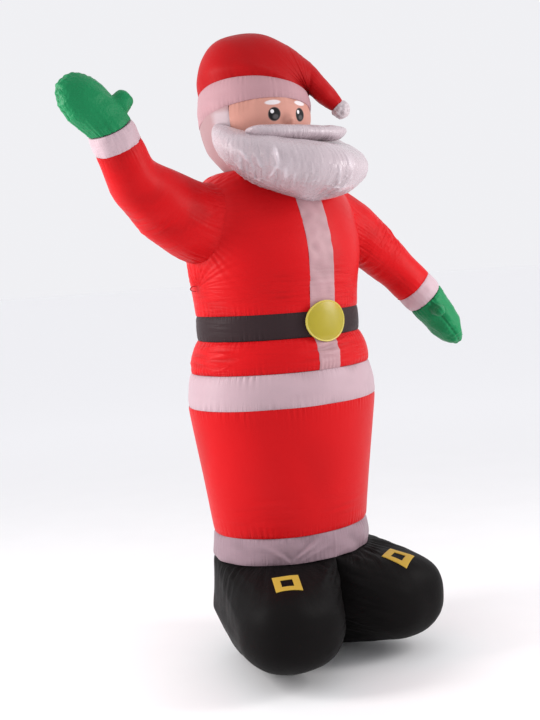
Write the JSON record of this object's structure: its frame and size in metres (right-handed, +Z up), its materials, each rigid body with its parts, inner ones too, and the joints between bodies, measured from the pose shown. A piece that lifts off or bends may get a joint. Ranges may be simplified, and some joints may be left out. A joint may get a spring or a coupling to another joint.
{
  "type": "inflatable santa",
  "caption": "Fan-blown garden Santa of sewn coloured nylon, standing on round black boots and waving a green mitten.",
  "frame": {"origin": "on the ground under the middle of the figure's whole box, raised arm and boots included", "axes": "+Z up from the soles, +X to the figure's left, -Y the way it faces"},
  "size_m": [1.7976, 0.7866, 2.4162],
  "materials": {
    "red_nylon": "thin woven nylon, satin sheen",
    "white_nylon": "thin woven nylon, satin sheen, pinkish from the red beside it",
    "black_nylon": "thin woven nylon, satin sheen",
    "green_nylon": "thin woven nylon, satin sheen",
    "skin_nylon": "thin woven nylon with printed eyes and brows",
    "gold_nylon": "thin woven nylon, matt gold",
    "clear_yellow": "see-through yellow film"
  },
  "bodies": {
    "root": {"robe_skirt": "red_nylon", "coat_waist": "red_nylon", "coat_chest": "red_nylon", "right_sleeve": "red_nylon", "left_sleeve": "red_nylon", "hat_crown": "red_nylon", "hat_tail": "red_nylon", "right_tie_loop": "red_nylon", "left_tie_loop": "red_nylon", "lower_hem": "white_nylon", "coat_band": "white_nylon", "lower_placket": "white_nylon", "upper_placket": "white_nylon", "right_cuff": "white_nylon", "left_cuff": "white_nylon", "hair": "white_nylon", "hat_band": "white_nylon", "hat_pompon": "white_nylon", "beard": "white_nylon", "moustache": "white_nylon", "right_boot": "black_nylon", "left_boot": "black_nylon", "belt": "black_nylon", "right_mitten": "green_nylon", "left_mitten": "green_nylon", "face": "skin_nylon", "right_boot_buckle": "gold_nylon", "left_boot_buckle": "gold_nylon", "belt_buckle": "clear_yellow"}
  },
  "joints": []
}
